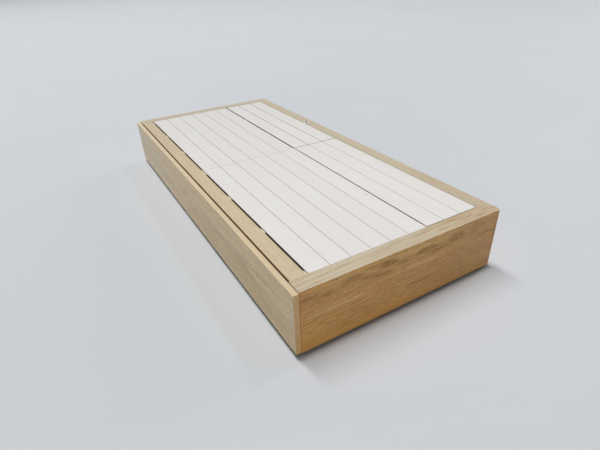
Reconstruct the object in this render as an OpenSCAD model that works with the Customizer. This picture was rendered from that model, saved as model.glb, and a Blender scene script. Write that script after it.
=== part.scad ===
// Low platform bed with a slatted deck level with its frame and one drawer along its whole side.
// Millimetres. X runs across the bed, with the drawer at -X, Y along it and Z up from the floor.
// The origin is on the floor, under the middle of the bed.

/* [Overall] */
// Length of the bed, over both end panels
bed_length = 2000; // [1800:10:2200]
// Width of the bed, drawer front included
bed_width = 900; // [840:10:1200]
// Height of the deck above the floor
bed_height = 260; // [250:5:400]
// Air under the end panels and the side panel
floor_gap = 10; // [4:1:30]

/* [Outer boards] */
// Thickness of the end panels and the side panel
board_t = 18; // [15:1:25]
// Thickness of the caps along the tops of the outer boards
cap_t = 18; // [15:1:25]
// Width of the cap along the top of each end
end_cap_w = 62; // [50:1:90]
// Width of the cap along the top of the closed side
side_cap_w = 59; // [48:1:90]
// Rounding of the two upright outer corners on the closed side
corner_r = 10; // [2:1:14]

/* [Timbers] */
// Width of the beam over the drawer
beam_w = 59; // [40:1:80]
// Height of the beam over the drawer
beam_h = 90; // [84:1:110]
// Width of the cross bearers
bearer_w = 35; // [25:1:60]
// Width of the middle bearer, which carries the ends of both sets of slats
middle_bearer_w = 65; // [50:1:90]
// How far the end bearers stand out past the caps
end_bearer_lip = 28; // [15:1:40]
// Height of all bearers
bearer_h = 45; // [40:1:60]
// Width of the two ledgers that carry the bearers
ledger_w = 30; // [24:1:36]
// Height of the two ledgers
ledger_h = 30; // [24:1:35]
// Thickness of the divider that carries the middle of the bearers
divider_t = 18; // [15:1:25]
// Width of the corner posts on the closed side
side_post_w = 58; // [40:1:80]
// Diameter of the feet under the corner posts
foot_d = 36; // [20:1:40]

/* [Slats] */
// Thickness of the slats
slat_t = 6; // [4:0.5:12]
// How much wider a slat of the near narrow panel is than one of the wide panels
narrow_extra = 2.3; // [0:0.1:5]
// How much the last slat of the far wide panel is cut down in width
far_trim = 3; // [0:0.5:8]
// Gap between the slats of the wide panels
slat_gap = 1.6; // [1:0.1:6]
// Gap between the slats of the near narrow panel
near_narrow_gap = 1.6; // [1:0.1:6]
// Gap between the slats of the far narrow panel
far_narrow_gap = 3; // [1:0.1:6]
// Gap between the wide panel and the narrow one, on the near half
panel_gap = 6.2; // [2:0.1:10]
// Gap between the beam and the first slat
beam_side_gap = 8.4; // [3:0.1:12]
// Gap between the narrow panels and the side cap
cap_side_gap = 2.5; // [1:0.1:6]
// Gap between the end caps and the wide panels
wide_end_gap = 1; // [0.5:0.1:5]
// Gap between the end caps and the narrow panels
narrow_end_gap = 3; // [0.5:0.1:5]
// Gap where the near and far wide panels meet
wide_seam_gap = 1.6; // [0.5:0.1:5]
// Gap where the near and far narrow panels meet
narrow_seam_gap = 6; // [0.5:0.1:8]
// How far past the middle of the bed the slats meet
seam_shift = 10; // [0:1:15]
// Width of the battens that join the slats of a panel
batten_w = 40; // [30:1:70]
// Height of those battens
batten_h = 20; // [12:1:30]
// How far the battens stop short of the outer edges of a panel
batten_inset = 12; // [5:1:25]

/* [Drawer] */
// Thickness of the drawer front
front_t = 20; // [16:1:30]
// How far the drawer front stops below the deck
front_drop = 5; // [2:1:15]
// Air under the drawer front
front_floor_gap = 15; // [5:1:30]
// Clearance between the closed drawer front and the end panels
front_clear = 1; // [0.3:0.1:2]
// Air gap between the drawer front and the beam
beam_gap = 4.5; // [2:0.1:15]
// Thickness of the drawer's walls
wall_t = 18; // [15:1:22]
// Thickness of the drawer's bottom
bottom_t = 12; // [9:1:18]
// Clearance between the drawer's walls and the timbers above them
beam_clear = 10; // [4:1:20]
// Clearance between the drawer's ends and the corner posts
post_clear = 8; // [3:1:20]
// Clearance between the drawer's back and the divider
back_clear = 10; // [3:1:40]

/* [Castors] */
// Radius of the castor wheels
wheel_r = 14; // [10:0.5:18]
// Width of the castor wheels
wheel_w = 14; // [8:1:20]
// Radius of the castor axles
axle_r = 2.5; // [1.5:0.1:4]
// Clearance around a turning axle, on the radius
axle_clear = 0.08; // [0.02:0.01:0.1]
// Clearance between a wheel and its fork, at the sides and above it
fork_clear = 2; // [1:0.1:4]
// Thickness of the fork's sheet steel
fork_t = 2; // [1.5:0.1:3]
// Length of the fork's cheeks and plate, along the drawer's travel
fork_len = 34; // [24:1:50]
// Width of the fork's plate
fork_plate_w = 44; // [36:1:60]
// Distance from the drawer's corners to the middle of its castors
castor_inset = 50; // [40:1:120]

/* [Fasteners] */
// Radius of the long screws
screw_r = 2.5; // [2:0.1:3]
// Radius of the heads of the long screws
screw_head_r = 4.75; // [4:0.05:6]
// Height of all screw heads
head_h = 2.5; // [1.5:0.1:3.5]
// Radius of the short screws
short_screw_r = 2; // [1.5:0.1:2.5]
// Length of the short screws
short_screw_len = 30; // [26:1:34]
// Radius of the heads of the short screws
short_head_r = 4; // [3.5:0.1:5]
// Clearance of a screw in its hole, on the radius
hole_clear = 0.1; // [0.05:0.01:0.4]
// How far the heads of the bearers' screws lie below the underside of the caps
head_sink = 3; // [0.5:0.5:6]
// How far a long screw reaches into the last piece that it holds
bite = 14; // [8:1:14]
// Length of the joining plates
plate_len = 90; // [80:1:110]
// Height of the joining plates
plate_h = 24; // [18:1:26]
// Thickness of the joining plates
plate_t = 3; // [2:0.5:4]
// Distance from a plate's holes to its ends, and to the joint that it bridges
plate_hole_inset = 12; // [8:1:14]
// Gap between a plate and what it ends at, the end panel and a ledger
plate_clear = 1; // [0.5:0.5:3]

/* [Ring plug] */
// Outer radius of the ring plug's flange
plug_r = 18; // [14:0.5:20]
// Radius of the cup inside the ring plug
plug_cup_r = 11; // [6:0.5:15]
// Wall of the ring plug
plug_wall = 1.5; // [1:0.1:1.9]
// Height of the flange over the cap
plug_flange_h = 2; // [1:0.1:3]
// Depth of the cup below the cap's surface
plug_depth = 9; // [5:0.5:12]
// Distance from the ring plug to the middle of the bed, along it
plug_y = 342; // [-600:1:600]
// Distance from the ring plug's flange to the cap's inner edge
plug_inset = 0.5; // [0:0.5:15]

/* [Hidden] */
$fn = 64;
wide_count = 6;          // slats in a wide panel
narrow_count = 3;        // slats in a narrow panel
slat_count = wide_count + narrow_count;
bearer_spaces = 6;       // equal spaces between the end caps, marked off by five bearers
battens_per_panel = 3;
over = 1;                // how far a cutter runs past a face

// Lengthwise
y_end = bed_length / 2;
y_panel_in = y_end - board_t;
y_cap_in = y_end - end_cap_w;
bearer_pitch = 2 * y_cap_in / bearer_spaces;
y_plate_out = y_panel_in - plate_clear;
y_plate_in = y_plate_out - plate_len;
ledger_y = y_plate_in - plate_clear;

// Across
x_front = -bed_width / 2;
x_front_in = x_front + front_t;
x_frame = x_front_in + front_clear;
x_beam = x_front_in + beam_gap;
x_beam_in = x_beam + beam_w;
x_side = bed_width / 2;
x_side_in = x_side - board_t;
x_cap_in = x_side - side_cap_w;
x_slats = x_beam_in + beam_side_gap;
x_slats_in = x_cap_in - cap_side_gap;
near_slat_gaps = (wide_count - 1) * slat_gap + panel_gap + (narrow_count - 1) * near_narrow_gap;
slat_w = (x_slats_in - x_slats - near_slat_gaps - narrow_count * narrow_extra) / slat_count;
x_wide_in = x_slats + wide_count * slat_w + (wide_count - 1) * slat_gap;
x_narrow = x_wide_in + panel_gap;
near_narrow_slat_w = slat_w + narrow_extra;
far_narrow_slat_w = (x_slats_in - x_narrow - (narrow_count - 1) * far_narrow_gap) / narrow_count;
x_divider = x_wide_in + panel_gap / 2;
x_front_post = x_beam + beam_w / 2;
x_side_post = x_side_in - side_post_w / 2;
x_beam_ledger = x_beam_in + ledger_w / 2;
x_side_ledger = x_side_in - ledger_w / 2;

// Upwards
z_top = bed_height;
z_cap = z_top - cap_t;
z_slat = z_top - slat_t;
z_bearer = z_slat - bearer_h;
z_ledger = z_bearer - ledger_h;
z_beam = z_top - beam_h;

// Drawer
fork_top = 2 * wheel_r + fork_clear + fork_t;
z_walls = fork_top + bottom_t;
z_walls_top = min(z_beam, z_ledger) - beam_clear;
x_back = x_divider - divider_t / 2 - back_clear;
x_back_in = x_back - wall_t;
x_sub_front_in = x_front_in + wall_t;
y_box = y_cap_in - post_clear;
y_box_in = y_box - wall_t;
castor_xs = [x_front_in + castor_inset, x_back - castor_inset];
castor_ys = [-(y_box - castor_inset), 0, y_box - castor_inset];
castors = [for (y = castor_ys) for (x = castor_xs) [x, y]];

// Screws. A long one goes right through a ledger, and a bearer's one right through the bearer.
screw_len = ledger_w + bite;
z_bearer_screw = z_cap - head_sink;
bearer_screw_len = z_bearer_screw - z_bearer + bite;
post_screw_zs = [z_bearer * 0.3, z_bearer * 0.75];
side_screw_zs = [z_bearer * 0.45, z_bearer * 0.85];
post_y = (y_panel_in + y_cap_in) / 2;
z_ledger_screw = z_ledger + ledger_h / 2;
plate_hole_ys = [y_plate_in + plate_hole_inset, y_cap_in - plate_hole_inset,
    y_cap_in + plate_hole_inset, y_plate_out - plate_hole_inset];
wall_screw_zs = [for (s = [1, 3]) z_walls + s * (z_walls_top - z_walls) / 4];
bottom_screw_ys = [for (k = [-2:2]) k * (y_box - 2 * wall_t) / 2.5];
bottom_screw_xs = [for (k = [1:3]) x_front_in + k * (x_back - x_front_in) / 4];
front_screw_ys = [for (k = [-2, -1, 1, 2]) k * (y_box - 2 * wall_t) / 2.5];

// ---- shared shapes ----

// A straight board between two corners.
module board(x0, x1, y0, y1, z0, z1) {
    translate([x0, y0, z0]) cube([x1 - x0, y1 - y0, z1 - z0]);
}

// A length of one section along X. The section is drawn as [y, z] points.
module along_x(x0, x1, section) {
    translate([x0, 0, 0]) rotate([90, 0, 90]) linear_extrude(x1 - x0) polygon(section);
}

// A length of one section along Y. The section is drawn as [x, z] points.
module along_y(y0, y1, section) {
    translate([0, y1, 0]) rotate([90, 0, 0]) linear_extrude(y1 - y0) polygon(section);
}

// Turns what is drawn along +Z to point along a row axis.
module point_along(axis) {
    if (axis == "-z") rotate([180, 0, 0]) children();
    else if (axis == "x") rotate([0, 90, 0]) children();
    else if (axis == "-x") rotate([0, -90, 0]) children();
    else if (axis == "y") rotate([-90, 0, 0]) children();
    else if (axis == "-y") rotate([90, 0, 0]) children();
    else children();
}

// A screw with a flat head. Its place is the outer face of its head, and it points along its shank.
module screw(at, axis, r, head_r, length) {
    translate(at) point_along(axis) {
        cylinder(h = head_h, r = head_r);
        cylinder(h = length, r = r);
    }
}

// The hole for such a screw, opened out above its head as far as the face that it enters by.
module screw_hole(at, axis, r, head_r, length, recess) {
    translate(at) point_along(axis) {
        translate([0, 0, -recess - over]) cylinder(h = recess + over + head_h, r = head_r + hole_clear);
        cylinder(h = length + hole_clear, r = r + hole_clear);
    }
}

module long_screws(places, length = screw_len) {
    for (p = places) screw(p[0], p[1], screw_r, screw_head_r, length);
}

module long_screw_holes(places, length = screw_len) {
    for (p = places) screw_hole(p[0], p[1], screw_r, screw_head_r, length, p[2]);
}

module short_screws(places) {
    for (p = places) screw(p[0], p[1], short_screw_r, short_head_r, short_screw_len);
}

module short_screw_holes(places) {
    for (p = places) screw_hole(p[0], p[1], short_screw_r, short_head_r, short_screw_len, p[2]);
}

// ---- where the screws go: [outer face of the head, direction, depth below the face] ----

bearer_recess = z_slat - z_bearer_screw;
function bearer_screws(y) =
    [for (x = [x_beam_ledger, x_divider, x_side_ledger]) [[x, y, z_bearer_screw], "-z", bearer_recess]];
function end_bearer_screws(s) =
    [for (x = [x_divider, x_side_post]) [[x, s * post_y, z_bearer_screw], "-z", bearer_recess]];

post_recess = end_cap_w - board_t - ledger_w;
function post_screws(s) =
    [for (x = [x_front_post, x_side_post]) for (z = post_screw_zs)
        [[x, s * (y_cap_in + post_recess), z], s > 0 ? "y" : "-y", post_recess]];
side_post_recess = side_post_w - ledger_w;
function side_post_screws(s) =
    [for (z = side_screw_zs)
        [[x_side_in - side_post_w + side_post_recess, s * post_y, z], "x", side_post_recess]];

ledger_screw_ys = [for (k = [-3:2]) (k + 0.5) * bearer_pitch];
beam_ledger_screws =
    [for (y = ledger_screw_ys) [[x_beam_in + ledger_w + head_h, y, z_ledger_screw], "-x", 0]];
side_ledger_screws =
    [for (y = ledger_screw_ys) [[x_side_in - ledger_w - head_h, y, z_ledger_screw], "x", 0]];

plate_screw_places = [for (s = [-1, 1]) for (y = plate_hole_ys)
    [[x_beam_in + plate_t + head_h, s * y, z_ledger_screw], "-x", 0]];

bearer_ys = [for (k = [-2:2]) k * bearer_pitch];
frame_screw_places = concat(
    [for (s = [-1, 1]) for (p = concat(post_screws(s), side_post_screws(s))) p],
    beam_ledger_screws,
    side_ledger_screws
);
bearer_screw_places = concat(
    [for (y = bearer_ys) for (p = bearer_screws(y)) p],
    [for (s = [-1, 1]) for (p = end_bearer_screws(s)) p]
);

drawer_wall_xs = [x_front_in + wall_t / 2, x_back - wall_t / 2];
function wall_screws(x, s) =
    [for (z = wall_screw_zs) [[x, s * y_box, z], s > 0 ? "-y" : "y", 0]];
drawer_corner_screws = [for (x = drawer_wall_xs) for (s = [-1, 1]) for (p = wall_screws(x, s)) p];
drawer_divider_screws = concat(
    [for (z = wall_screw_zs) [[x_back, 0, z], "-x", 0]],
    [for (z = wall_screw_zs) [[x_front_in, 0, z], "x", 0]]
);
drawer_front_screws =
    [for (y = front_screw_ys) [[x_sub_front_in, y, (z_walls + z_walls_top) / 2], "-x", 0]];
drawer_bottom_screws = concat(
    [for (x = drawer_wall_xs) for (y = bottom_screw_ys) [[x, y, fork_top], "z", 0]],
    [for (s = [-1, 1]) for (x = bottom_screw_xs) [[x, s * (y_box - wall_t / 2), fork_top], "z", 0]]
);
drawer_screw_places =
    concat(drawer_corner_screws, drawer_divider_screws, drawer_front_screws, drawer_bottom_screws);

// ---- outer boards ----

// What is rounded off the upright corner between the near end and the closed side.
module corner_waste() {
    translate([x_side - corner_r, -y_end, 0]) difference() {
        translate([0, -over, -over]) cube([corner_r + over, corner_r + over, z_top + 2 * over]);
        translate([0, corner_r, -2 * over]) cylinder(h = z_top + 4 * over, r = corner_r);
    }
}

// The near end panel. Its top is mitred to the cap.
module end_panel() {
    difference() {
        along_x(x_frame, x_side, [
            [-y_end, floor_gap], [-y_end, z_top], [-y_panel_in, z_cap], [-y_panel_in, floor_gap]]);
        corner_waste();
        long_screw_holes(post_screws(-1));
    }
}

// The near end cap, mitred to the end panel.
module end_cap() {
    difference() {
        along_x(x_frame, x_side, [
            [-y_end, z_top], [-y_cap_in, z_top], [-y_cap_in, z_cap], [-y_panel_in, z_cap]]);
        corner_waste();
    }
}

module near_end_panel() { color("#B98E5A") end_panel(); }
module far_end_panel() { color("#B98E5A") mirror([0, 1, 0]) end_panel(); }
module near_end_cap() { color("#CDB98F") end_cap(); }
module far_end_cap() { color("#CDB98F") mirror([0, 1, 0]) end_cap(); }

module side_panel() {
    color("#B98E5A") difference() {
        union() {
            along_y(-y_cap_in, y_cap_in, [
                [x_side, floor_gap], [x_side, z_top], [x_side_in, z_cap], [x_side_in, floor_gap]]);
            board(x_side_in, x_side, -y_panel_in, y_panel_in, floor_gap, z_cap);
        }
        long_screw_holes(side_post_screws(-1));
        long_screw_holes(side_post_screws(1));
        long_screw_holes(side_ledger_screws);
    }
}

module side_cap() {
    color("#CDB98F") difference() {
        along_y(-y_cap_in, y_cap_in, [
            [x_side, z_top], [x_cap_in, z_top], [x_cap_in, z_cap], [x_side_in, z_cap]]);
        at_plug() translate([0, 0, -plug_hole_depth])
            cylinder(h = plug_hole_depth + over, r = plug_hole_r);
    }
}

// ---- timbers ----

module front_beam() {
    color("#D6C39B") difference() {
        board(x_beam, x_beam_in, -y_cap_in, y_cap_in, z_beam, z_top);
        long_screw_holes(beam_ledger_screws);
        short_screw_holes(plate_screw_places);
    }
}

module bearer_ledgers() {
    color("#D9C49A") difference() {
        union() {
            board(x_beam_in, x_beam_in + ledger_w, -ledger_y, ledger_y, z_ledger, z_bearer);
            board(x_side_in - ledger_w, x_side_in, -ledger_y, ledger_y, z_ledger, z_bearer);
        }
        long_screw_holes(beam_ledger_screws);
        long_screw_holes(side_ledger_screws);
        long_screw_holes(bearer_screw_places, bearer_screw_len);
    }
}

// A bearer carries the slats, and is notched down to pass under the side cap.
module bearer(y, width) {
    color("#DCCAA2") difference() {
        board(x_beam_in, x_side_in, y - width / 2, y + width / 2, z_bearer, z_slat);
        board(x_cap_in, x_side, y - width, y + width, z_cap, z_top);
        long_screw_holes(bearer_screws(y), bearer_screw_len);
    }
}

module bearer_1() { bearer(bearer_ys[0], bearer_w); }
module bearer_2() { bearer(bearer_ys[1], bearer_w); }
module middle_bearer() { bearer(bearer_ys[2], middle_bearer_w); }
module bearer_3() { bearer(bearer_ys[3], bearer_w); }
module bearer_4() { bearer(bearer_ys[4], bearer_w); }

// The near end bearer lies half under the end cap, where it is notched down too.
module end_bearer() {
    color("#DCCAA2") difference() {
        board(x_beam_in, x_side_in, -y_panel_in, -y_cap_in + end_bearer_lip, z_bearer, z_slat);
        board(x_beam, x_side, -y_end, -y_cap_in, z_cap, z_top);
        board(x_cap_in, x_side, -y_end, 0, z_cap, z_top);
        long_screw_holes(end_bearer_screws(-1), bearer_screw_len);
    }
}

module near_end_bearer() { end_bearer(); }
module far_end_bearer() { mirror([0, 1, 0]) end_bearer(); }

// The two posts of the near end.
module end_posts() {
    difference() {
        union() {
            board(x_beam, x_beam_in, -y_panel_in, -y_cap_in, floor_gap, z_cap);
            board(x_side_in - side_post_w, x_side_in, -y_panel_in, -y_cap_in, floor_gap, z_bearer);
        }
        long_screw_holes(post_screws(-1));
        long_screw_holes(side_post_screws(-1));
        long_screw_holes(end_bearer_screws(-1), bearer_screw_len);
        short_screw_holes(plate_screw_places);
    }
}

module corner_posts() {
    color("#D9C49A") {
        end_posts();
        mirror([0, 1, 0]) end_posts();
    }
}

module centre_divider() {
    color("#D9C49A") difference() {
        board(x_divider - divider_t / 2, x_divider + divider_t / 2, -y_panel_in, y_panel_in, 0, z_bearer);
        long_screw_holes(bearer_screw_places, bearer_screw_len);
    }
}

module feet() {
    color("#4A4A48")
        for (x = [x_front_post, x_side_post]) for (s = [-1, 1])
            translate([x, s * post_y, 0]) cylinder(h = floor_gap, d = foot_d);
}

// ---- frame fasteners ----

module joining_plates() {
    color("#A9ADB0") difference() {
        for (s = [-1, 1]) translate([0, s * (y_plate_in + y_plate_out) / 2, 0])
            board(x_beam_in, x_beam_in + plate_t, -plate_len / 2, plate_len / 2,
                z_ledger_screw - plate_h / 2, z_ledger_screw + plate_h / 2);
        short_screw_holes(plate_screw_places);
    }
}

module plate_screws() { color("#C9CCCE") short_screws(plate_screw_places); }
module frame_screws() {
    color("#C9CCCE") {
        long_screws(frame_screw_places);
        long_screws(bearer_screw_places, bearer_screw_len);
    }
}

plug_hole_r = plug_cup_r + plug_wall + hole_clear;
plug_hole_depth = plug_depth + plug_wall + hole_clear;

// Moves to the ring plug's place on the side cap's top.
module at_plug() {
    translate([x_cap_in + plug_inset + plug_r, plug_y, z_top]) children();
}

// A white moulded cup with a flange, let into the side cap.
module ring_plug() {
    color("#EDEBE6") at_plug() rotate_extrude() polygon([
        [0, -plug_depth - plug_wall], [plug_cup_r + plug_wall, -plug_depth - plug_wall],
        [plug_cup_r + plug_wall, 0], [plug_r, 0], [plug_r - plug_flange_h / 2, plug_flange_h],
        [plug_cup_r, plug_flange_h], [plug_cup_r, -plug_depth], [0, -plug_depth]]);
}

// ---- slat panels ----

// Where a slat starts along X, counted from the drawer side.
function wide_slat_x(i) = x_slats + (i - 1) * (slat_w + slat_gap);
function narrow_slat_x(i, width, gap) = x_narrow + (i - 1 - wide_count) * (width + gap);
function end_gap(i) = i <= wide_count ? wide_end_gap : narrow_end_gap;
function half_seam(i) = (i <= wide_count ? wide_seam_gap : narrow_seam_gap) / 2;

module near_slat(i) {
    wide = i <= wide_count;
    x = wide ? wide_slat_x(i) : narrow_slat_x(i, near_narrow_slat_w, near_narrow_gap);
    width = wide ? slat_w : near_narrow_slat_w;
    color("#E9E6E0")
        board(x, x + width, -y_cap_in + end_gap(i), seam_shift - half_seam(i), z_slat, z_top);
}

module far_slat(i) {
    wide = i <= wide_count;
    x = wide ? wide_slat_x(i) : narrow_slat_x(i, far_narrow_slat_w, far_narrow_gap);
    width = wide ? slat_w - (i == wide_count ? far_trim : 0) : far_narrow_slat_w;
    color("#E9E6E0")
        board(x, x + width, seam_shift + half_seam(i), y_cap_in - end_gap(i), z_slat, z_top);
}

// The battens of one panel, one in each space between the bearers.
module battens(x0, x1, s) {
    color("#E4DED2")
        for (k = [1:battens_per_panel])
            translate([0, s * (k - 0.5) * bearer_pitch, 0])
                board(x0 + batten_inset, x1 - batten_inset, -batten_w / 2, batten_w / 2,
                    z_slat - batten_h, z_slat);
}

module near_wide_battens() { battens(x_slats, x_wide_in, -1); }
module far_wide_battens() { battens(x_slats, x_wide_in - far_trim, 1); }
module near_narrow_battens() { battens(x_narrow, x_slats_in, -1); }
module far_narrow_battens() { battens(x_narrow, x_slats_in, 1); }

// ---- drawer ----

module drawer_front() {
    color("#B7A27A") difference() {
        board(x_front, x_front_in, -y_end, y_end, front_floor_gap, z_top - front_drop);
        short_screw_holes(drawer_front_screws);
    }
}

// A wall across the drawer's ends, at the front or the back.
module long_wall(x0) {
    difference() {
        board(x0, x0 + wall_t, -y_box_in, y_box_in, z_walls, z_walls_top);
        short_screw_holes(drawer_screw_places);
    }
}

module drawer_sub_front() { color("#DDD3BE") long_wall(x_front_in); }
module drawer_back() { color("#DDD3BE") long_wall(x_back_in); }

module end_wall(s) {
    color("#DDD3BE") difference() {
        translate([0, s * (y_box - wall_t / 2), 0])
            board(x_front_in, x_back, -wall_t / 2, wall_t / 2, z_walls, z_walls_top);
        short_screw_holes(drawer_screw_places);
    }
}

module drawer_near_side() { end_wall(-1); }
module drawer_far_side() { end_wall(1); }

module drawer_divider() {
    color("#DDD3BE") difference() {
        board(x_sub_front_in, x_back_in, -wall_t / 2, wall_t / 2, z_walls, z_walls_top);
        short_screw_holes(drawer_divider_screws);
    }
}

module drawer_bottom() {
    color("#E3DCCB") difference() {
        board(x_front_in, x_back, -y_box, y_box, fork_top, z_walls);
        short_screw_holes(drawer_bottom_screws);
    }
}

module drawer_screws() { color("#C9CCCE") short_screws(drawer_screw_places); }

// ---- castors ----

cheek_in = wheel_w / 2 + fork_clear;
cheek_out = cheek_in + fork_t;
rivet_h = 1;

// A plate under the drawer's bottom with two cheeks that hold the axle.
module fork() {
    difference() {
        union() {
            board(-fork_len / 2, fork_len / 2, -fork_plate_w / 2, fork_plate_w / 2,
                fork_top - fork_t, fork_top);
            for (s = [-1, 1]) translate([0, s * (cheek_in + fork_t / 2), 0])
                board(-fork_len / 2, fork_len / 2, -fork_t / 2, fork_t / 2,
                    wheel_r - 2 * axle_r, fork_top - fork_t);
        }
        translate([0, -cheek_out - over, wheel_r]) rotate([-90, 0, 0])
            cylinder(h = 2 * (cheek_out + over), r = axle_r + axle_clear);
    }
}

module castor_forks() { color("#8F9396") for (c = castors) translate([c[0], c[1], 0]) fork(); }

// An axle, riveted over outside both cheeks.
module axle() {
    translate([0, -cheek_out, wheel_r]) rotate([-90, 0, 0]) {
        cylinder(h = 2 * cheek_out, r = axle_r);
        translate([0, 0, -rivet_h]) cylinder(h = rivet_h, r = 2 * axle_r);
        translate([0, 0, 2 * cheek_out]) cylinder(h = rivet_h, r = 2 * axle_r);
    }
}

module castor_axles() { color("#B9BDC0") for (c = castors) translate([c[0], c[1], 0]) axle(); }

// A wheel with a rounded tread, dished on both faces round its hub.
module castor_wheel(i) {
    hub_r = axle_r + 3;
    rim_r = wheel_r - 4;
    dish = 2.5;
    edge = 1.5;
    half = wheel_w / 2;
    color("#3C3C3E") translate([castors[i - 1][0], castors[i - 1][1], wheel_r]) rotate([-90, 0, 0])
        rotate_extrude() polygon([
            [axle_r + axle_clear, -half], [hub_r, -half], [hub_r, dish - half], [rim_r, dish - half],
            [rim_r, -half], [wheel_r - edge, -half], [wheel_r, edge - half], [wheel_r, half - edge],
            [wheel_r - edge, half], [rim_r, half], [rim_r, half - dish], [hub_r, half - dish],
            [hub_r, half], [axle_r + axle_clear, half]]);
}

near_end_panel();
near_end_cap();
far_end_panel();
far_end_cap();
side_panel();
side_cap();
front_beam();
bearer_ledgers();
near_end_bearer();
far_end_bearer();
bearer_1();
bearer_2();
middle_bearer();
bearer_3();
bearer_4();
corner_posts();
centre_divider();
feet();
joining_plates();
plate_screws();
frame_screws();
ring_plug();
for (i = [1:slat_count]) near_slat(i);
for (i = [1:slat_count]) far_slat(i);
near_wide_battens();
near_narrow_battens();
far_wide_battens();
far_narrow_battens();
drawer_front();
drawer_sub_front();
drawer_near_side();
drawer_far_side();
drawer_back();
drawer_divider();
drawer_bottom();
drawer_screws();
castor_forks();
castor_axles();
for (i = [1:len(castors)]) castor_wheel(i);
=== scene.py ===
"""The looks of a low platform bed: a slatted deck level with its frame, and one long drawer.

Every timber stays the solid that the frame holds. This script gives each its finish, eases the boards'
long edges, adds a dark liner in the ring plug's cup, which paints shade at its centre, and sets the
floor, the light and the camera. Metres, in the frame's own axes: X across the bed with the drawer at
-X, Y along it and Z up.
"""

from math import cos, pi, radians, sin

import bmesh
import bpy
from mathutils import Matrix, Vector


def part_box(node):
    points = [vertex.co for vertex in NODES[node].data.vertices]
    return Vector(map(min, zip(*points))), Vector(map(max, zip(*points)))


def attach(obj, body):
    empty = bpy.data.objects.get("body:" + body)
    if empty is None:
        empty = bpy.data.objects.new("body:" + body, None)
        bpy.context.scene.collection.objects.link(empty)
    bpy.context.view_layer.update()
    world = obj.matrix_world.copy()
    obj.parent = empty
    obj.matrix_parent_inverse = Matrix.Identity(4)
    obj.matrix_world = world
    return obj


MM = 0.001

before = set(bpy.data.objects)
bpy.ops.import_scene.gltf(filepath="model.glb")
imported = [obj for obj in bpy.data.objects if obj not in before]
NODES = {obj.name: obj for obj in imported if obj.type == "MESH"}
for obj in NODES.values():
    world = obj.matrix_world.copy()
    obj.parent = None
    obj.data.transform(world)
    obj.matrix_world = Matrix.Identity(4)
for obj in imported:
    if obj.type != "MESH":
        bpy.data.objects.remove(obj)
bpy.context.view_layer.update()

# ---- the photograph's view ----

# The picture's width and the focal length in its pixels, and a full-frame sensor's width.
IMAGE_W = 600
FOCAL_PX = 430.1
SENSOR_MM = 36
CAMERA_AT = (-0.8904, -1.8476, 1.0692)
HEADING = 29.23  # degrees from +Y towards +X
LOOK_DOWN = 31.04
ROLL = -2.52


def camera():
    data = bpy.data.cameras.new("photograph_view")
    data.sensor_width = SENSOR_MM
    data.lens = FOCAL_PX * SENSOR_MM / IMAGE_W
    eye = bpy.data.objects.new("photograph_view", data)
    turn = Matrix.Rotation(-radians(HEADING), 4, "Z")
    tilt = Matrix.Rotation(radians(90 - LOOK_DOWN), 4, "X")
    roll = Matrix.Rotation(radians(ROLL), 4, "Z")
    eye.matrix_world = Matrix.Translation(CAMERA_AT) @ turn @ tilt @ roll
    bpy.context.scene.collection.objects.link(eye)
    bpy.context.scene.camera = eye


# ---- shader tools ----


def linear(srgb):
    """An sRGB hex colour as the linear colour that a shader takes, by the sRGB standard's curve."""
    channels = [int(srgb[i : i + 2], 16) / 255 for i in (1, 3, 5)]
    return [c / 12.92 if c <= 0.04045 else ((c + 0.055) / 1.055) ** 2.4 for c in channels] + [1.0]


def in_use(node):
    """The first of a node's outputs that its settings leave in use."""
    return next(output for output in node.outputs if output.enabled)


def add(tree, kind, sockets=None, family="ShaderNode", **settings):
    """Adds a node. settings are its properties, and sockets its inputs by name or number: each is
    a value to set, a hex colour, or another node or one of its outputs to link."""
    node = tree.nodes.new(family + kind)
    for name, value in settings.items():
        setattr(node, name, value)
    for name, value in (sockets or {}).items():
        if isinstance(value, bpy.types.Node):
            value = in_use(value)
        if isinstance(value, bpy.types.NodeSocket):
            tree.links.new(value, node.inputs[name])
        else:
            node.inputs[name].default_value = linear(value) if str(value).startswith("#") else value
    return node


# The numbers of a Mix node's sockets for colours, and of a Map Range node's limits.
MIX_A, MIX_B = 6, 7
LOW, HIGH, TO_LOW, TO_HIGH = 1, 2, 3, 4
SMOOTH = {"interpolation_type": "SMOOTHSTEP"}
# Between these lies nearly all of a noise's range.
MIDDLE = (0.3, 0.7)


class Finish:
    """A material under way: its node tree and its surface shader, whose sockets that are alike all
    over are set at once."""

    def __init__(self, name, **shader):
        self.material = bpy.data.materials.new(name)
        self.material.use_nodes = True
        self.tree = self.material.node_tree
        self.tree.nodes.clear()
        self.shader = self.add("BsdfPrincipled", {k.replace("_", " "): v for k, v in shader.items()})
        self.add("OutputMaterial", {"Surface": self.shader})

    def add(self, kind, sockets=None, **settings):
        return add(self.tree, kind, sockets, **settings)

    def drive(self, socket, node):
        """Links a node to one of the surface shader's sockets."""
        self.tree.links.new(in_use(node), self.shader.inputs[socket])


# ---- wood ----

# Each layer of a board's noise: how long and how wide its grains are in millimetres, how much
# detail it has, and the seed that keeps it apart from the other layers.
GRAINS = {
    "bend": (420, 90, 2.0, 0.0),
    "waver": (70, 14, 2.0, 7.0),
    "strength": (260, 38, 2.0, 3.0),
    "fibre": (26, 1.8, 4.0, 11.0),
    "streak": (48, 4.0, 4.0, 31.0),
    "fleck": (9, 2.6, 2.0, 53.0),
    "pore": (15, 1.7, 2.0, 19.0),
    "cloud": (300, 60, 2.0, 23.0),
    "tear_along": (90, 9, 3.0, 41.0),
    "tear_across": (34, 2.2, 3.0, 47.0),
}
# The trunk, in millimetres: how far it bends, how far its rings waver, how far apart the boards'
# hearts lie at most, and how much it tapers on each millimetre of its length.
BEND = 14
WAVER = 3
HEARTS_APART = 60
TAPER = 0.012
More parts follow.
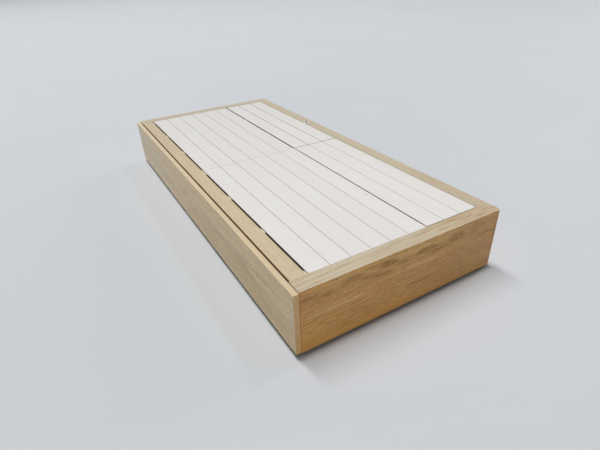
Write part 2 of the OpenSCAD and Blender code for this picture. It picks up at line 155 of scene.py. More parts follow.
# Scatters the boards' numbers, so that neighbours' hearts lie apart.
SCATTER = 0.37
# Fat and lean years: how often they take turns, and by how many rings they shift the count.
YEARS_TURN = 0.37
YEARS_SHIFT = 2.2
# In a year's growth from 0 to 1, where the early wood sets in and where it runs out.
SETS_IN = (0.0, 0.12)
RUNS_OUT = (0.18, 0.85)
# The range of its noise over which each of these comes in.
STRENGTH_IN = (0.32, 0.68)
PORES_IN = (0.56, 0.70)
CLOUDS_IN = (0.35, 0.65)
LINES_IN = (0.30, 0.62)
THREADS_IN = (0.36, 0.60)
# The same for what mottles the ground, and how much of the dark tone each of these brings.
FIBRE_MOTTLE = (0.38, 0.70, 0.55)
STREAK_MOTTLE = (0.46, 0.70, 0.7)
FLECK_MOTTLE = (0.48, 0.70, 0.5)
# How weak the rings get where they fade, and how broken and how whole their lines are.
WEAKEST = 0.15
BROKEN, WHOLE = 0.15, 0.85
# How many pores the late wood has for each in the early wood, and how dark they are.
LATE_PORES = 0.3
PORE_DARK = 0.55
# How far a mark's edge is torn along and across the board in millimetres, how much its threads
# let through, and where it is full and where it ends, as shares of its half size.
TEAR = (130, 15)
THREADS = (0.35, 1.45)
MARK_FULL, MARK_ENDS = 0.35, 1.25
# The share of a speck's radius that is full.
SPECK_CORE = 0.5
# How squarely a face has to look along an axis to be a plainer one, and how much of its plain tone
# the streaks let through.
SQUARELY = (0.6, 0.9)
VEIL = (0.65, 1.25)
# How much rougher the loose fibres are, and the open pores.
FIBRE_ROUGH = 0.10
PORE_ROUGH = 0.2
# How high the fibres stand beside the pores' depth, how deep that is, and how much of it shows.
FIBRE_HIGH = 0.35
RELIEF_DEEP = 0.15 * MM
RELIEF_SHOWS = 0.25


class Board(Finish):
    """Wood in the board's own axes, along, across and through it, and with its own number, so
    that no two boards of one finish are alike."""

    def __init__(self, name, order, **shader):
        super().__init__(name, **shader)
        place = self.add("TexCoord").outputs["Object"]
        axes = self.add("SeparateXYZ", {0: place}).outputs
        self.place = self.add("CombineXYZ", {i: axes[a] for i, a in enumerate(order)})
        self.own = self.add("Attribute", attribute_type="OBJECT", attribute_name="board").outputs["Fac"]

    def grain(self, layer):
        """Noise from 0 to 1, with the grains that its layer gives."""
        long, wide, detail, seed = GRAINS[layer]
        scale = (1 / (long * MM), 1 / (wide * MM), 1 / (wide * MM))
        spot = self.add("VectorMath", {0: self.place, 1: scale}, operation="MULTIPLY")
        own = self.add("Math", {0: self.own, 1: seed}, operation="ADD")
        sockets = {"Vector": spot, "W": own, "Scale": 1.0, "Detail": detail}
        return self.add("TexNoise", sockets, noise_dimensions="4D")

    def rings(self, pith, spacing):
        """How strong the growth rings' dark early wood is. They lie round the trunk's heart, which
        is so many millimetres across and through from the board's origin. The trunk bends and
        tapers, and its rings waver."""
        wander = self.add("Math", {0: self.grain("bend"), 1: BEND * MM, 2: -BEND / 2 * MM},
                          operation="MULTIPLY_ADD")
        waver = self.add("Math", {0: self.grain("waver"), 1: WAVER * MM, 2: -WAVER / 2 * MM},
                         operation="MULTIPLY_ADD")
        share = self.add("Math", {0: self.own, 1: SCATTER}, operation="MULTIPLY")
        share = self.add("Math", {0: share}, operation="FRACT")
        heart = self.add("Math", {0: share, 1: HEARTS_APART * MM}, operation="MULTIPLY")
        along, across, through = self.add("SeparateXYZ", {0: self.place}).outputs
        aside = self.add("Math", {0: across, 1: -pith[0] * MM}, operation="ADD")
        drift = self.add("Math", {0: wander, 1: heart}, operation="ADD")
        off = self.add("Math", {0: aside, 1: drift}, operation="ADD")
        deep = self.add("Math", {0: through, 1: -pith[1] * MM}, operation="ADD")
        flat = self.add("CombineXYZ", {0: off, 1: deep})
        radius = self.add("VectorMath", {0: flat}, operation="LENGTH").outputs["Value"]
        thick = self.add("Math", {0: along, 1: TAPER, 2: radius}, operation="MULTIPLY_ADD")
        grown = self.add("Math", {0: thick, 1: waver}, operation="ADD")
        count = self.add("Math", {0: grown, 1: spacing * MM}, operation="DIVIDE")
        uneven = self.add("TexNoise", {"W": count, "Scale": YEARS_TURN}, noise_dimensions="1D")
        year = self.add("Math", {0: uneven, 1: YEARS_SHIFT, 2: count}, operation="MULTIPLY_ADD")
        year = self.add("Math", {0: year}, operation="FRACT")
        spring = self.add("MapRange", {0: year, LOW: SETS_IN[0], HIGH: SETS_IN[1]}, **SMOOTH)
        summer = self.add("MapRange", {0: year, LOW: RUNS_OUT[0], HIGH: RUNS_OUT[1], TO_LOW: 1.0,
                                       TO_HIGH: 0.0}, **SMOOTH)
        early = self.add("Math", {0: spring, 1: summer}, operation="MULTIPLY")
        strong = self.add("MapRange", {0: self.grain("strength"), LOW: STRENGTH_IN[0],
                                       HIGH: STRENGTH_IN[1], TO_LOW: WEAKEST}, **SMOOTH)
        return self.add("Math", {0: early, 1: strong}, operation="MULTIPLY")

    def patch(self, torn, threads, mark):
        """A patch of another tone in the figure, torn along the wood's own streaks and broken up by
        its threads: the tone and how much of it there is. mark is where it is along and across the
        board, its half length and half width, its strength and its tone."""
        long, wide, half_long, half_wide, strength, tone = mark
        spot = self.add("VectorMath", {0: torn, 1: (-long * MM, -wide * MM, 0)}, operation="ADD")
        size = (1 / (half_long * MM), 1 / (half_wide * MM), 0)
        spot = self.add("VectorMath", {0: spot, 1: size}, operation="MULTIPLY")
        reach = self.add("VectorMath", {0: spot}, operation="LENGTH").outputs["Value"]
        amount = self.add("MapRange", {0: reach, LOW: MARK_ENDS, HIGH: MARK_FULL, TO_LOW: 0.0,
                                       TO_HIGH: strength}, **SMOOTH)
        amount = self.add("Math", {0: amount, 1: threads}, operation="MULTIPLY", use_clamp=True)
        return tone, amount

    def speck(self, mark):
        """A small round spot: its tone and how much of it there is. mark is where it is along and
        across the board, its radius and its tone."""
        long, wide, radius, tone = mark
        sockets = {0: self.place, 1: (-long * MM, -wide * MM, 0)}
        spot = self.add("VectorMath", sockets, operation="ADD")
        spot = self.add("VectorMath", {0: spot, 1: (1, 1, 0)}, operation="MULTIPLY")
        reach = self.add("VectorMath", {0: spot}, operation="LENGTH").outputs["Value"]
        amount = self.add("MapRange", {0: reach, LOW: SPECK_CORE * radius * MM, HIGH: radius * MM,
                                       TO_LOW: 1.0, TO_HIGH: 0.0})
        return tone, amount

    def torn(self, along, across):
        """The board's place, pushed about by its streaks so many millimetres, so that what is drawn
        there has a fibrous edge."""
        pushes = []
        for layer, push in (("tear_along", along), ("tear_across", across)):
            sockets = {0: self.grain(layer), 1: push * MM, 2: -push * MM / 2}
            pushes.append(self.add("Math", sockets, operation="MULTIPLY_ADD"))
        push = self.add("CombineXYZ", {0: pushes[0], 1: pushes[1]})
        return self.add("VectorMath", {0: self.place, 1: push}, operation="ADD")


def wood(name, order, tones, ring, pith, figure=1.0, pores=1.0, cloud=0.5, spread=0.0, mottle=0.5,
         rough=0.45, marks=(), specks=(), faces=(), fade=None):
    """A board cut from a round trunk, so that its faces, edges and ends agree.

    order says which frame axes run along, across and through the board. tones are its ground, its
    early wood, its pores and the tone that clouds it. ring is the spacing of the growth rings in
    millimetres, and pith is where the trunk's heart is, across and through from the board's origin.
    figure, pores, cloud and mottle say how much each shows, and spread how much darker some boards are
    than others. marks are patches of another tone, and specks are small round spots. faces gives
    plainer faces, such as edge bands: the axis that a face looks along, its tone and how much that
    covers the figure. fade gives painted shade, a darker tone that the board takes on along its length
    for the light falling off: where it starts, where it is full, and the shade.
    """
    board = Board(name, order, IOR=1.5)
    ground, dark, pore, tint = tones
    early = board.rings(pith, ring)
    fibre, streak, fleck = [board.grain(layer) for layer in ("fibre", "streak", "fleck")]

    # Pores: short dark dashes, most of them in the early wood, drawn as coarse as they need to show.
    dash = board.add("MapRange", {0: board.grain("pore"), LOW: PORES_IN[0], HIGH: PORES_IN[1]})
    crowd = board.add("MapRange", {0: early, TO_LOW: LATE_PORES * pores, TO_HIGH: pores})
    dash = board.add("Math", {0: dash, 1: crowd}, operation="MULTIPLY")

    # The coats of tone that lie over the ground, each with how much of it there is.
    clouds = board.add("MapRange", {0: board.grain("cloud"), LOW: CLOUDS_IN[0], HIGH: CLOUDS_IN[1],
                                    TO_HIGH: cloud}, **SMOOTH)
    lot = board.add("TexWhiteNoise", {"W": board.own}, noise_dimensions="1D").outputs["Value"]
    darker = board.add("Math", {0: lot, 1: spread}, operation="MULTIPLY")
    broken = board.add("MapRange", {0: streak, LOW: LINES_IN[0], HIGH: LINES_IN[1],
                                    TO_LOW: BROKEN * figure, TO_HIGH: WHOLE * figure})
    lines = board.add("Math", {0: early, 1: broken}, operation="MULTIPLY")
    coats = [(tint, clouds), (dark, darker), (dark, lines)]
    for noise, (low, high, share) in ((fibre, FIBRE_MOTTLE), (streak, STREAK_MOTTLE),
                                      (fleck, FLECK_MOTTLE)):
        sockets = {0: noise, LOW: low, HIGH: high, TO_HIGH: share * mottle}
        coats.append((dark, board.add("MapRange", sockets)))
    if marks:
        torn = board.torn(*TEAR)
        threads = board.add("MapRange", {0: fibre, LOW: THREADS_IN[0], HIGH: THREADS_IN[1],
                                         TO_LOW: THREADS[0], TO_HIGH: THREADS[1]})
        coats += [board.patch(torn, threads, mark) for mark in marks]
    coats.append((pore, board.add("Math", {0: dash, 1: PORE_DARK}, operation="MULTIPLY")))
    coats += [board.speck(mark) for mark in specks]
    if faces:
        looks = board.add("SeparateXYZ", {0: board.add("TexCoord").outputs["Normal"]}).outputs
        veil = board.add("MapRange", {0: streak, LOW: MIDDLE[0], HIGH: MIDDLE[1], TO_LOW: VEIL[0],
                                      TO_HIGH: VEIL[1]})
        for axis, tone, share in faces:
            turned = board.add("Math", {0: looks[axis]}, operation="ABSOLUTE")
            turned = board.add("MapRange", {0: turned, LOW: SQUARELY[0], HIGH: SQUARELY[1],
                                            TO_HIGH: share})
            turned = board.add("Math", {0: turned, 1: veil}, operation="MULTIPLY", use_clamp=True)
            coats.append((tone, turned))
    colour = ground
    for tone, amount in coats:
        colour = board.add("Mix", {0: amount, MIX_A: colour, MIX_B: tone}, data_type="RGBA")
    # Painted shade: the colour darkens along the board's length, for the light falling off.
    if fade:
        start, full, shade = fade
        along = board.add("SeparateXYZ", {0: board.place}).outputs[0]
        amount = board.add("MapRange", {0: along, LOW: start * MM, HIGH: full * MM})
        colour = board.add("Mix", {0: amount, MIX_A: colour, MIX_B: shade}, data_type="RGBA",
                           blend_type="MULTIPLY")
    board.drive("Base Color", colour)

    worn = board.add("Math", {0: fibre, 1: FIBRE_ROUGH, 2: rough - FIBRE_ROUGH / 2},
                     operation="MULTIPLY_ADD")
    worn = board.add("Math", {0: dash, 1: PORE_ROUGH, 2: worn}, operation="MULTIPLY_ADD")
    board.drive("Roughness", worn)
    sunk = board.add("Math", {0: dash, 1: early}, operation="ADD")
    relief = board.add("Math", {0: fibre, 1: FIBRE_HIGH}, operation="MULTIPLY")
    relief = board.add("Math", {0: relief, 1: sunk}, operation="SUBTRACT")
    board.drive("Normal", board.add("Bump", {"Strength": RELIEF_SHOWS, "Distance": RELIEF_DEEP,
                                             "Height": relief}))
    return board.material


# Which frame axes run along, across and through a board.
ALONG_X_UPRIGHT = (0, 2, 1)
ALONG_X_FLAT = (0, 1, 2)
ALONG_Y_UPRIGHT = (1, 2, 0)
ALONG_Y_FLAT = (1, 0, 2)
UPRIGHT = (2, 0, 1)

# Woods: ground, early wood, pores and clouds. The three oaks stand for one veneer, and the gaps between
# their tones are painted light. The front's pale grey tone paints the cool light and sheen on its side.
# The caps' paler, greyer tone is partly another cut of the oak and partly painted light and sheen from
# above. The ends' deep orange is partly painted warm shade.
OAK = ("#DAA75B", "#9A611C", "#6C400E", "#CC9D5C")
OAK_FRONT_PAINTED_LIGHT = ("#F1DBB3", "#B39667", "#84663B", "#DECCAA")
OAK_CAP_PAINTED_LIGHT = ("#CFC2A9", "#A58C62", "#84663A", "#CABAA1")
BEECH = ("#D6C5A6", "#B59E76", "#9A7E56", "#D6C0A4")
PINE = ("#E6DAC2", "#CDB58E", "#B39468", "#E8DCC6")
# The heart pine's pinkish brown is partly painted shade: where the ledgers show deep in the slit beside
# the beam, it gives that slit its red-brown.
PINE_HEART = ("#D9AE86", "#B98658", "#8E6340", "#D2AC8C")
PAULOWNIA = ("#E8E6E3", "#DBD5CB", "#C9C0B2", "#E5E1DC")
BIRCH_PLY = ("#DFD0B0", "#CDB98F", "#B79F74", "#E2CFB0")


def oak_veneer(name, order, pith, tones=OAK, **more):
    """Lacquered oak veneer: straw brown, with darker open-pored early wood in flames and lines.
    Its rings are 3 mm apart, and are drawn 9 mm apart, as coarse as shows from across a room."""
    return wood(name, order, tones, ring=9, pith=pith, rough=0.36, **more)


def pine(name, order, pith, tones=PINE, mottle=0.2):
    """Planed bare pine: creamy, or pinkish brown from the heart of the tree, with clear rings and
    hardly any pores."""
    return wood(name, order, tones, ring=7, pith=pith, figure=0.8, pores=0.1, mottle=mottle,
                rough=0.55)


def paulownia(name, order, **more):
    """Paulownia with a thin whitening stain on its broad faces: matt, nearly white, with the grain
    just showing."""
    return wood(name, order, PAULOWNIA, ring=8, pith=(0, 120), figure=0.4, pores=0.15, cloud=0.4,
                mottle=0.15, rough=0.5, **more)


def birch_plywood(name, order, ring=12, figure=0.6):
    """Birch plywood under a clear seal: pale, with a faint figure and hardly any pores."""
    return wood(name, order, BIRCH_PLY, ring=ring, pith=(60, 100), figure=figure, pores=0.2,
                mottle=0.4, rough=0.4)


def planed_beech(name, order, **more):
    """Planed beech: pale and even, with fine lines and hardly any pores."""
    return wood(name, order, BEECH, ring=6, pith=(-250, 60), figure=0.5, pores=0.2, mottle=0.6, **more)


# In every table of marks, each gives where it is along and across the board, its half length and
# half width in millimetres, its strength and its tone. In one of specks, each gives where it is
# along and across, its radius and its tone.

# The near end's figure: dark flames in its upper third, a few long streaks, and golden patches, with a
# strip of painted shade down its right edge.
BROWN = "#8A590E"
RUST = "#9A5B24"
GOLD = "#CD9340"
TAN = "#A07840"
STRAW = "#DDB87C"
OLIVE = "#BE9854"
UMBER = "#7E5C30"
END_MARKS = [
    (0, 225, 540, 42, 0.34, OLIVE), (40, 60, 300, 42, 0.13, UMBER),
    (-60, 24, 480, 34, 0.45, GOLD), (330, 110, 330, 190, 0.40, TAN), (-395, 60, 70, 40, 0.35, GOLD),
    (-60, 240, 420, 22, 0.22, STRAW), (-285, 147, 140, 8, 0.40, STRAW), (60, 168, 120, 14, 0.25, STRAW),
    (-398, 224, 46, 9, 0.55, RUST), (-415, 243, 24, 6, 0.40, RUST), (-330, 209, 50, 8, 0.55, BROWN),
    (-238, 228, 46, 16, 0.56, BROWN), (-180, 209, 50, 8, 0.54, BROWN), (-88, 228, 54, 20, 0.74, BROWN),
    (-150, 241, 46, 6, 0.55, BROWN), (-120, 196, 60, 8, 0.60, BROWN), (-15, 207, 44, 8, 0.55, BROWN),
    (74, 222, 64, 10, 0.76, BROWN), (142, 200, 50, 7, 0.52, BROWN), (222, 222, 48, 20, 0.64, BROWN),
    (325, 232, 44, 18, 0.45, BROWN), (318, 208, 18, 7, 0.80, BROWN), (392, 184, 66, 8, 0.55, BROWN),
    # The tall rust strip at 443 is painted shade down the right edge, where the rounded corner turns
    # away from the light. The far end takes it mirrored.
    (75, 90, 85, 7, 0.45, BROWN), (443, 150, 16, 140, 0.50, RUST), (412, 38, 46, 16, 0.50, RUST),
    (-85, 212, 24, 10, 0.50, GOLD),
]
# The far end's veneer is another leaf of the same flitch, laid the other way round. Its marks are
# turned within this height in millimetres.
PANEL_HIGH = 250
FAR_END_MARKS = [(-long, PANEL_HIGH - wide, *rest) for long, wide, *rest in END_MARKS]
# The end caps' figure: the near one is paler towards the drawer, with brown streaks on its other half.
# The mark at 970 greys the far cap, and is painted light: the light falling off and the sheen towards
# the far end.
CAP_MARKS = [
    (-290, -970, 280, 70, 0.18, "#E6DBC4"), (330, -970, 230, 70, 0.28, "#BC9660"),
    (0, 970, 520, 70, 0.35, "#B0A48C"),
    (95, -962, 50, 6, 0.35, BROWN), (170, -978, 44, 5, 0.30, BROWN), (232, -956, 40, 6, 0.40, BROWN),
    (300, -966, 46, 7, 0.40, BROWN), (352, -982, 40, 5, 0.35, BROWN), (398, -962, 40, 7, 0.35, BROWN),
    (-120, -972, 60, 5, 0.22, BROWN), (-250, -958, 50, 4, 0.20, BROWN),
]
# The front's tone: straw along its top, browner along the floor, and paler towards the far end. That
# last is painted sheen, where the front is seen more and more edge-on.
FRONT_MARKS = [
    (0, 220, 1400, 62, 0.40, "#E2C894"), (-420, 70, 720, 90, 0.38, "#BC9C58"),
    (860, 130, 360, 220, 0.30, "#E2CDB2"), (-860, 70, 240, 90, 0.22, "#B8984C"),
]
# The side cap is greyer towards the far end, which is painted light: the light falling off and the
# sheen there. It is browner at the near one.
SIDE_CAP_MARKS = [(650, 420, 560, 80, 0.30, "#B8AD98"), (-860, 420, 330, 80, 0.17, "#A88C62")]
# A tiny dark fleck near the near end's top, in a pale ring.
END_SPECKS = [(-297.7, 251.5, 5.5, "#A7A284"), (-297.7, 251.5, 3.2, "#23282A")]
# Painted shade: the deck and the beam turn a shade darker towards the far end, where less light falls
# than at the near end. Where along the bed that starts and is full, and the shade.
FAR_PAINTED_SHADE = (-450, 1000, "#F3F3F3")
# The edge bands of the front, whose tones are partly painted light by the way the faces turn: a paler
# one along its top, lit from above, and a browner one on its ends, like the warm shade on the near end.
FRONT_EDGES = [(2, "#DDC9A8", 0.7), (1, "#C28C46", 0.65)]
# The beam's sides show the reddish core of the beech, and the tone is partly painted shade: it gives
# the dark gaps on both sides of the beam their red-brown.
BEAM_SIDES = [(0, "#B0764A", 0.72)]
# The stain is thin on the slats' cut edges, so the gaps between slats look warm.
SLAT_EDGES = [(0, "#E2C6A6", 0.35)]
# A pin knot in the sixth near slat.
SLAT_SPECKS = [(-618, 111, 9, "#CFCBC6"), (-618, 111, 4, "#AFA9A3")]


def finishes():
    """Every finish, by a short name."""
    return {
        "end": oak_veneer("oak_veneer_near_end", ALONG_X_UPRIGHT, pith=(222, -1090), mottle=0.85,
                          pores=1.4, marks=END_MARKS, specks=END_SPECKS),
        "far_end": oak_veneer("oak_veneer_far_end", ALONG_X_UPRIGHT, pith=(60, 1090), mottle=0.85,
                              pores=1.4, marks=FAR_END_MARKS),
        "end_cap": oak_veneer("oak_veneer_end_cap", ALONG_X_FLAT, pith=(-880, 190), tones=OAK_CAP_PAINTED_LIGHT,
                              mottle=0.5, marks=CAP_MARKS),
        "side": oak_veneer("oak_veneer_side", ALONG_Y_UPRIGHT, pith=(110, 560)),
        "side_cap": oak_veneer("oak_veneer_side_cap", ALONG_Y_FLAT, pith=(300, 190), tones=OAK_CAP_PAINTED_LIGHT,
                               mottle=0.45, marks=SIDE_CAP_MARKS),
        "front": oak_veneer("oak_veneer_front", ALONG_Y_UPRIGHT, pith=(150, -540), tones=OAK_FRONT_PAINTED_LIGHT,
                            pores=1.5, mottle=1.1, marks=FRONT_MARKS, faces=FRONT_EDGES),
        "beam": planed_beech("planed_beech_beam", ALONG_Y_FLAT, faces=BEAM_SIDES, fade=FAR_PAINTED_SHADE),
        "bearer": pine("planed_pine_bearer", ALONG_X_FLAT, pith=(90, 120)),
        "post": pine("planed_pine_post", UPRIGHT, pith=(90, 900)),
        "ledger": pine("planed_heart_pine_ledger", ALONG_Y_FLAT, pith=(40, 120), tones=PINE_HEART,
                       mottle=0.3),
        "slat": paulownia("whitened_paulownia_slat", ALONG_Y_FLAT, spread=0.25, specks=SLAT_SPECKS,
                          faces=SLAT_EDGES, fade=FAR_PAINTED_SHADE),
        "batten": paulownia("whitened_paulownia_batten", ALONG_X_FLAT),
        "board": birch_plywood("birch_plywood", ALONG_Y_UPRIGHT),
        "cross_board": birch_plywood("birch_plywood_cross", ALONG_X_UPRIGHT),
        "bottom": birch_plywood("birch_plywood_bottom", ALONG_Y_FLAT, ring=14, figure=0.7),
        "steel": plated_steel("zinc_plated_sheet", "#A9ADB0", rough=0.42),
        "screw": plated_steel("zinc_plated_screw", "#C9CCCE", rough=0.30),
        "foot": moulded_plastic("moulded_polyethylene_foot", "#3F3F3E", rough=0.55),
        "wheel": moulded_plastic("moulded_nylon_wheel", "#343436", rough=0.45),
        "white": moulded_plastic("moulded_white_plug", "#EFEDE8", rough=0.35),
        # A dark liner for the ring plug's cup: painted shade that darkens the cup's centre.
        "shade_liner": moulded_plastic("dark_liner_painted_shade", "#4A423E", rough=0.65),
    }


# ---- metal and plastic ----

# Zinc's spangle: the size of its crystals in millimetres, its darker tone, and how much rougher or
# smoother it is.
SPANGLE = 6
SPANGLE_TONE = "#8F9396"
SPANGLE_ROUGH = 0.08
# The orange peel of moulded plastic: its size and its depth in millimetres, how much of that shows,
# and how much rougher or smoother it is.
PEEL = 1.2
PEEL_DEEP = 0.05
PEEL_SHOWS = 0.15
PEEL_ROUGH = 0.05


def plated_steel(name, colour, rough):
    """Zinc-plated steel: a bright grey metal whose crystals give it a faint cloudy spangle."""
    plate = Finish(name, Metallic=1.0)
    place = plate.add("TexCoord").outputs["Object"]
    spangle = plate.add("TexNoise", {"Vector": place, "Scale": 1 / (SPANGLE * MM), "Detail": 3.0})
    plate.drive("Base Color", plate.add("Mix", {0: spangle, MIX_A: colour, MIX_B: SPANGLE_TONE},
                                        data_type="RGBA"))
    plate.drive("Roughness", plate.add("MapRange", {0: spangle, LOW: MIDDLE[0], HIGH: MIDDLE[1],
                                                    TO_LOW: rough - SPANGLE_ROUGH,
                                                    TO_HIGH: rough + SPANGLE_ROUGH}))
    return plate.material


def moulded_plastic(name, colour, rough):
    """Injection-moulded plastic: one even tone, with the fine orange peel of the tool's surface."""
    shell = Finish(name, IOR=1.49, Base_Color=colour)
    place = shell.add("TexCoord").outputs["Object"]
    peel = shell.add("TexNoise", {"Vector": place, "Scale": 1 / (PEEL * MM), "Detail": 2.0})
    shell.drive("Roughness", shell.add("MapRange", {0: peel, LOW: MIDDLE[0], HIGH: MIDDLE[1],
                                                    TO_LOW: rough - PEEL_ROUGH,
                                                    TO_HIGH: rough + PEEL_ROUGH}))
    shell.drive("Normal", shell.add("Bump", {"Strength": PEEL_SHOWS, "Distance": PEEL_DEEP * MM,
                                             "Height": peel}))
    return shell.material


# ---- the timbers and fittings of the frame ----

# Each finish, how far its edges are eased in millimetres, and the starts of its nodes' names. The
# ends, the side and the caps meet in mitres, and those stay sharp.
DRESS = [
    ("end", 0, ["near_end_panel"]),
    ("far_end", 0, ["far_end_panel"]),
    ("end_cap", 0, ["near_end_cap", "far_end_cap"]),
    ("side", 0, ["side_panel"]),
    ("side_cap", 0, ["side_cap"]),
    ("front", 0.8, ["drawer_front"]),
    ("beam", 1.0, ["front_beam"]),
    ("bearer", 1.5, ["near_end_bearer", "far_end_bearer", "bearer_1", "bearer_2", "middle_bearer",
                     "bearer_3", "bearer_4"]),
    ("post", 1.5, ["corner_posts"]),
    ("ledger", 1.5, ["bearer_ledgers", "centre_divider"]),
    ("slat", 0.4, ["near_slat_", "far_slat_"]),
    ("batten", 1.0, ["near_wide_battens", "near_narrow_battens", "far_wide_battens",
                     "far_narrow_battens"]),
    ("board", 0.8, ["drawer_sub_front", "drawer_back"]),
    ("cross_board", 0.8, ["drawer_near_side", "drawer_far_side", "drawer_divider"]),
    ("bottom", 0.5, ["drawer_bottom"]),
    ("steel", 0.2, ["joining_plates", "castor_forks"]),
    ("screw", 0, ["plate_screws", "frame_screws", "drawer_screws", "castor_axles"]),
    ("foot", 0, ["feet"]),
    ("wheel", 0, ["castor_wheel_"]),
    ("white", 0, ["ring_plug"]),
]

# An edge is eased where it is sharper than this and longer than this, so holes keep their rims.
SHARP = radians(50)
LONG = 8 * MM
# The frame's faces come apart from their neighbours, and are joined where they are this near.
JOINED = 0.001 * MM
# How many flats make up an eased edge.
EASE_FLATS = 2


def long_edges():
    """Marks the long, sharp edges of a board for its bevel."""
    tree = bpy.data.node_groups.new("long_edges", "GeometryNodeTree")
    for in_out in ("INPUT", "OUTPUT"):
        tree.interface.new_socket("Geometry", in_out=in_out, socket_type="NodeSocketGeometry")
    board = add(tree, "GroupInput", family="Node")
    turn = add(tree, "InputMeshEdgeAngle", family="GeometryNode").outputs["Unsigned Angle"]
    ends = add(tree, "InputMeshEdgeVertices", family="GeometryNode").outputs
    length = add(tree, "VectorMath", {0: ends["Position 1"], 1: ends["Position 2"]},
                 operation="DISTANCE").outputs["Value"]
    sharp = add(tree, "Math", {0: turn, 1: SHARP}, operation="GREATER_THAN")
    long = add(tree, "Math", {0: length, 1: LONG}, operation="GREATER_THAN")
    both = add(tree, "Math", {0: sharp, 1: long}, operation="MULTIPLY")
    marked = add(tree, "StoreNamedAttribute", {"Geometry": board, "Name": "bevel_weight_edge",
                                               "Value": both},
                 family="GeometryNode", data_type="FLOAT", domain="EDGE")
    add(tree, "GroupOutput", {0: marked}, family="Node")
    return tree


def ease(piece, width, marker):
    """Rounds a board's long edges, as sandpaper leaves them."""
    piece.modifiers.new("joined_faces", "WELD").merge_threshold = JOINED
    piece.modifiers.new("marked_edges", "NODES").node_group = marker
    bevel = piece.modifiers.new("eased_edges", "BEVEL")
    bevel.width = width * MM
    bevel.segments = EASE_FLATS
    bevel.limit_method = "WEIGHT"


def dress(finish):
    """Gives every node of the frame its finish and a number of its own, and eases the boards."""
    marker = long_edges()
    numbers = {name: i for i, name in enumerate(sorted(NODES))}
    for short, width, starts in DRESS:
        for name in sorted(NODES):
            if not name.startswith(tuple(starts)):
                continue
            piece = NODES[name]
            piece.data.materials.clear()
            piece.data.materials.append(finish[short])
            piece["board"] = float(numbers[name])
            if width:
                ease(piece, width, marker)


# ---- a turned liner of painted shade ----

# How many steps a turned piece takes round its axis.
TURNS = 48
# The ring plug's dark liner, which paints the shade at the cup's centre, in millimetres: the cup's
# radius and depth, the liner's thickness, how far its lip lies below the rim, and how wide and high the
# slope between its wall and its floor is.
CUP_R, CUP_DEEP = 10.9, 10.9
LINER_THICK = 1.2
LIP_LOW = 1.2
SLOPE_WIDE, SLOPE_HIGH = 1, 2
LIP_STEPS = 6


def lathed(name, outline, at, body, finish):
    """A piece turned about an upright axis. outline gives radius and height, in millimetres."""
    mesh = bpy.data.meshes.new(name)
    turned = bmesh.new()
    points = [turned.verts.new((r * MM, 0, z * MM)) for r, z in outline]
    edges = [turned.edges.new(pair) for pair in zip(points, points[1:])]
    bmesh.ops.spin(turned, geom=points + edges, cent=(0, 0, 0), axis=(0, 0, 1), angle=2 * pi,
                   steps=TURNS, use_duplicate=False)
    bmesh.ops.remove_doubles(turned, verts=turned.verts, dist=JOINED)
    bmesh.ops.recalc_face_normals(turned, faces=turned.faces)
    turned.to_mesh(mesh)
    turned.free()
    mesh.materials.append(finish)
    for face in mesh.polygons:
        face.use_smooth = True
    piece = bpy.data.objects.new(name, mesh)
    piece.location = at
    bpy.context.scene.collection.objects.link(piece)
    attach(piece, body)


def plug_shade_liner(finish):
    """A dark liner in the ring plug's cup, with a rolled lip under the rim. It is painted shade: it
    darkens the cup's centre beyond the shade that the shallow cup gets by itself.
    """
    low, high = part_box("ring_plug")
    middle = ((low[0] + high[0]) / 2, (low[1] + high[1]) / 2, high[2])
    roll = [(CUP_R - LINER_THICK / 2 + LINER_THICK / 2 * cos(t), -LIP_LOW + LINER_THICK / 2 * sin(t))
            for t in [pi * k / LIP_STEPS for k in range(LIP_STEPS + 1)]]
    outline = [(0, -CUP_DEEP), (CUP_R, -CUP_DEEP), *roll, (CUP_R - LINER_THICK, -CUP_DEEP + SLOPE_HIGH),
               (CUP_R - LINER_THICK - SLOPE_WIDE, -CUP_DEEP + LINER_THICK), (0, -CUP_DEEP + LINER_THICK)]
    lathed("plug_shade_liner", outline, middle, "frame", finish)


# ---- floor and light ----

# Half the floor's width in metres, its two tones, of which the first is the background's too, and
# how large in metres the clouds are in which they mix.
FLOOR_HALF = 40
BACKGROUND = "#D0D2D6"
FLOOR_TONE = "#CBD0D4"
FLOOR_CLOUD = 1.25


def floor():
    """A pale seamless floor, wide enough to reach past the view's upper edge."""
    mesh = bpy.data.meshes.new("floor")
    corners = [(x * FLOOR_HALF, y * FLOOR_HALF, 0) for x, y in ((-1, -1), (1, -1), (1, 1), (-1, 1))]
    mesh.from_pydata(corners, [], [(0, 1, 2, 3)])
    ground = bpy.data.objects.new("floor", mesh)
    bpy.context.scene.collection.objects.link(ground)
    paint = Finish("matt_pale_floor", Roughness=0.7, IOR=1.45)
    place = paint.add("TexCoord").outputs["Object"]
    drift = paint.add("TexNoise", {"Vector": place, "Scale": 1 / FLOOR_CLOUD, "Detail": 2.0})
    paint.drive("Base Color", paint.add("Mix", {0: drift, MIX_A: FLOOR_TONE, MIX_B: BACKGROUND},
                                        data_type="RGBA"))
    mesh.materials.append(paint.material)


# How bright the room's walls and its ceiling are, how high up the walls fade out, as the upward
# part of a ray's direction, and the room's tone.
WALLS = 0.92
CEILING = 0.07
WALLS_FADE = (0.10, 0.25)
ROOM_TONE = "#F6F9FF"
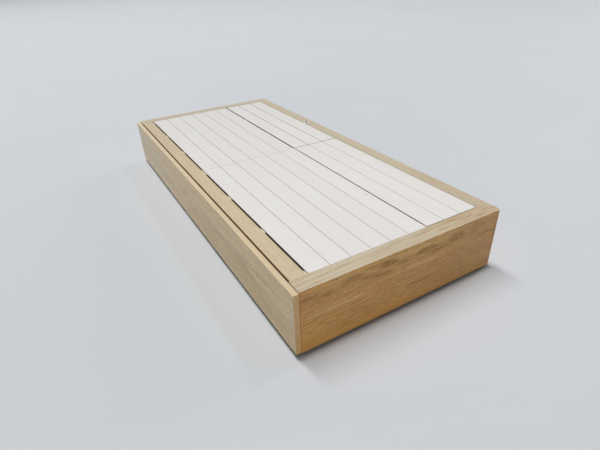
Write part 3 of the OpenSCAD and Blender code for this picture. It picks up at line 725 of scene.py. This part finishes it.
# Strips of lamps high above the bed: the middle of each, its width and length, and its watts.
STRIPS = [
    ("near_strip", (0.07, 1.2, 40), (0.9, 3.4), 5400),
    ("broad_strip", (-3.2, 14.0, 40), (5.2, 22.0), 8500),
]
# Lamps as far off as suns: where each stands as seen from the bed, its strength, and its width in
# degrees.
FAR_LAMPS = [
    ("low_window", (-0.55, -0.82, 0.10), 0.55, 14),
    ("side_lamp", (0.52, 0.10, 0.85), 0.18, 3),
    ("side_window", (0.95, 0.14, 0.26), 0.65, 36),
]


def light():
    """Plain light from above, filled in by a pale room whose walls are its brightest part."""
    world = bpy.data.worlds.new("pale_room")
    world.use_nodes = True
    tree = world.node_tree
    tree.nodes.clear()
    path = add(tree, "LightPath").outputs
    seen = add(tree, "Math", {0: path["Is Camera Ray"], 1: path["Is Glossy Ray"]}, operation="ADD")
    seen = add(tree, "Math", {0: seen, 1: path["Is Transmission Ray"]}, operation="ADD")
    up = add(tree, "SeparateXYZ", {0: add(tree, "TexCoord").outputs["Generated"]}).outputs[2]
    level = add(tree, "MapRange", {0: up, LOW: WALLS_FADE[0], HIGH: WALLS_FADE[1], TO_LOW: WALLS,
                                   TO_HIGH: CEILING})
    room = add(tree, "Background", {"Color": ROOM_TONE, "Strength": level})
    back = add(tree, "Background", {"Color": BACKGROUND, "Strength": 1.0})
    add(tree, "OutputWorld", {"Surface": add(tree, "MixShader", {0: seen, 1: room, 2: back})})
    bpy.context.scene.world = world

    for name, at, size, power in STRIPS:
        strip = bpy.data.lights.new(name, "AREA")
        strip.shape = "RECTANGLE"
        strip.size, strip.size_y = size
        strip.energy = power
        hang(strip, at)
    for name, at, strength, width in FAR_LAMPS:
        lamp = bpy.data.lights.new(name, "SUN")
        lamp.energy = strength
        lamp.angle = radians(width)
        hang(lamp, at).rotation_euler = Vector(at).to_track_quat("Z", "Y").to_euler()


def hang(lamp, at):
    """Puts a lamp in its place, shining straight down."""
    hung = bpy.data.objects.new(lamp.name, lamp)
    hung.location = at
    bpy.context.scene.collection.objects.link(hung)
    return hung


# ---- putting it together ----

camera()
light()
floor()
finish = finishes()
dress(finish)
plug_shade_liner(finish["shade_liner"])

bpy.context.scene.view_settings.view_transform = "Standard"
